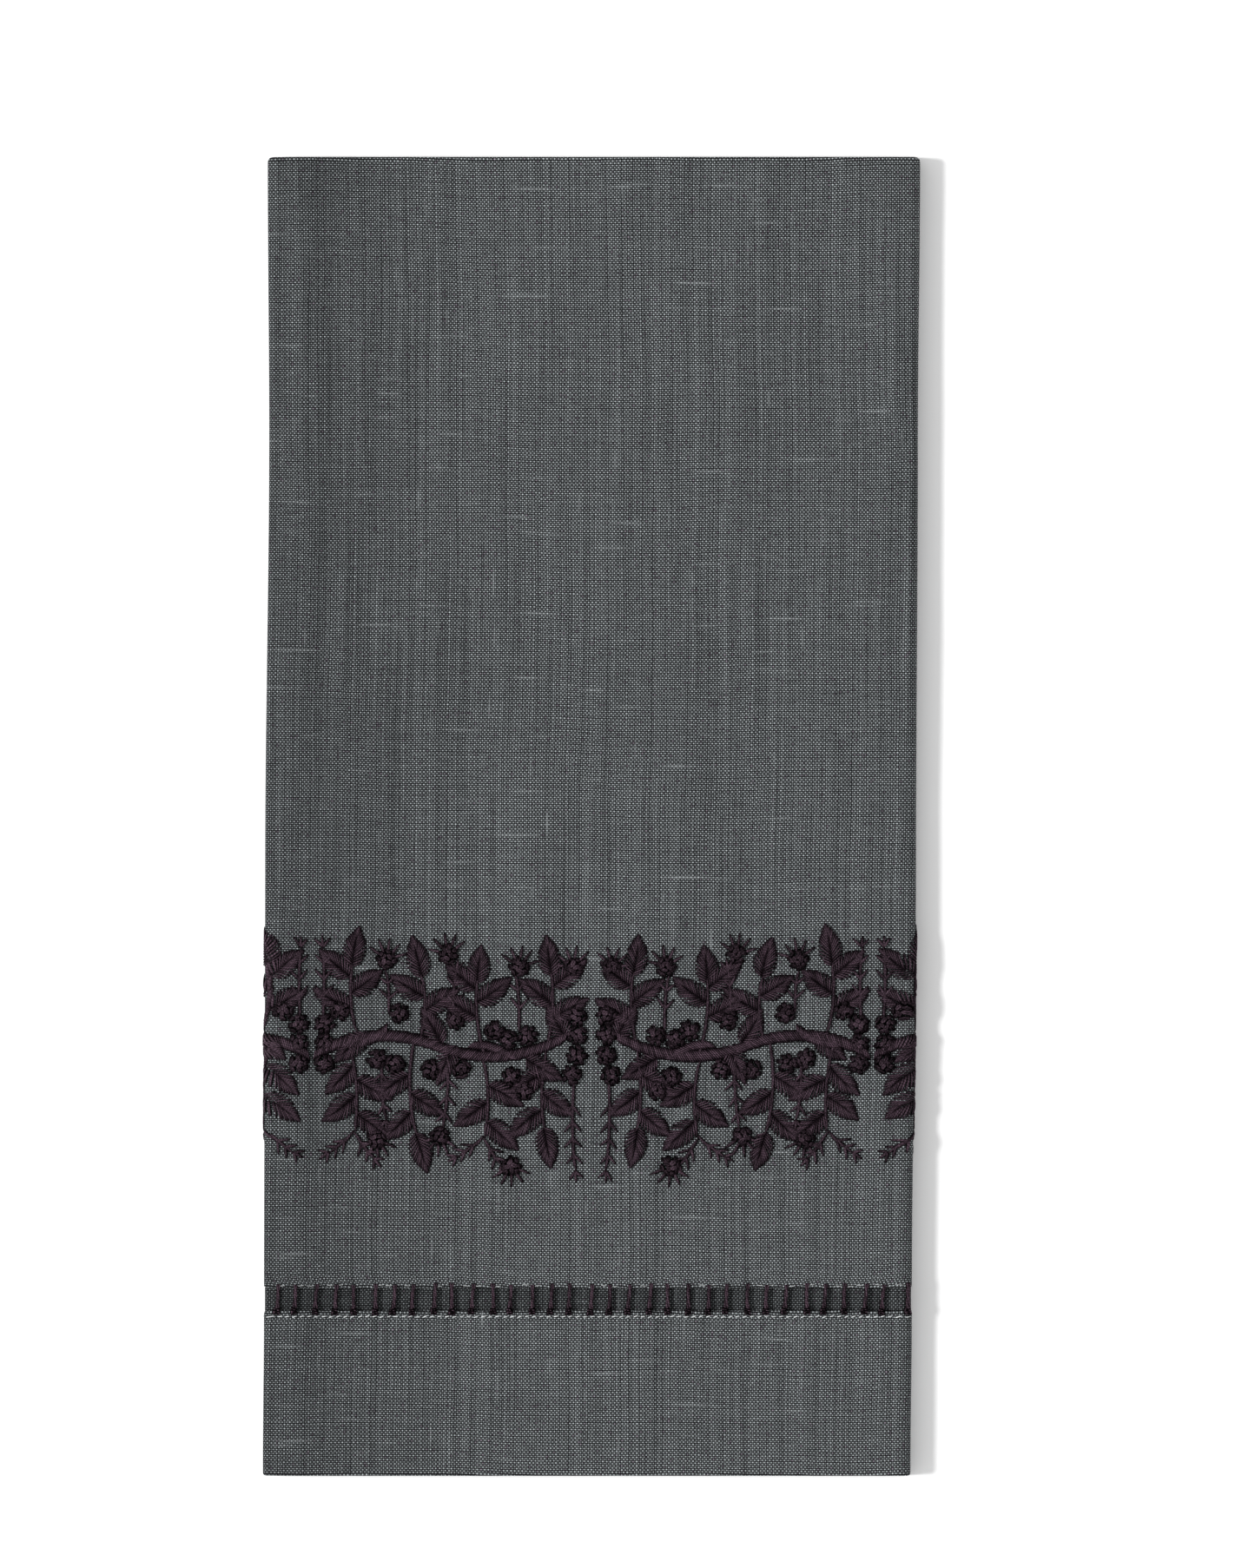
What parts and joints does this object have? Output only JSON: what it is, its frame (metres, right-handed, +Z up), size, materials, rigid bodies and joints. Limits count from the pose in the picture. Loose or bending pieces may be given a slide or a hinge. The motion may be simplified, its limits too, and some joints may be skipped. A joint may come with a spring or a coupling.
{
  "type": "folded hand towel",
  "caption": "Linen hand towel folded into a long flat pack, with a leaf and berry border in raised stitching and a hem band joined by an open ladder of thread bars.",
  "frame": {"origin": "on the surface the towel lies on, under the middle of its folded outline", "axes": "+Y from the hem band's end to the folded top edge, +Z up from the surface to the embroidered face, +X to the right seen from above"},
  "size_m": [0.1756, 0.352, 0.0107],
  "materials": {
    "linen": "plain weave of slubby slate-grey linen yarn, matt",
    "thread": "twisted dark aubergine cotton thread with a soft sheen"
  },
  "bodies": {
    "root": {"border_left": "thread", "border_right": "thread", "edge_berries_left": "thread", "edge_berries_right": "thread", "hem_band": "linen", "ladder_stitch": "thread", "towel_cloth": "linen"}
  },
  "joints": []
}
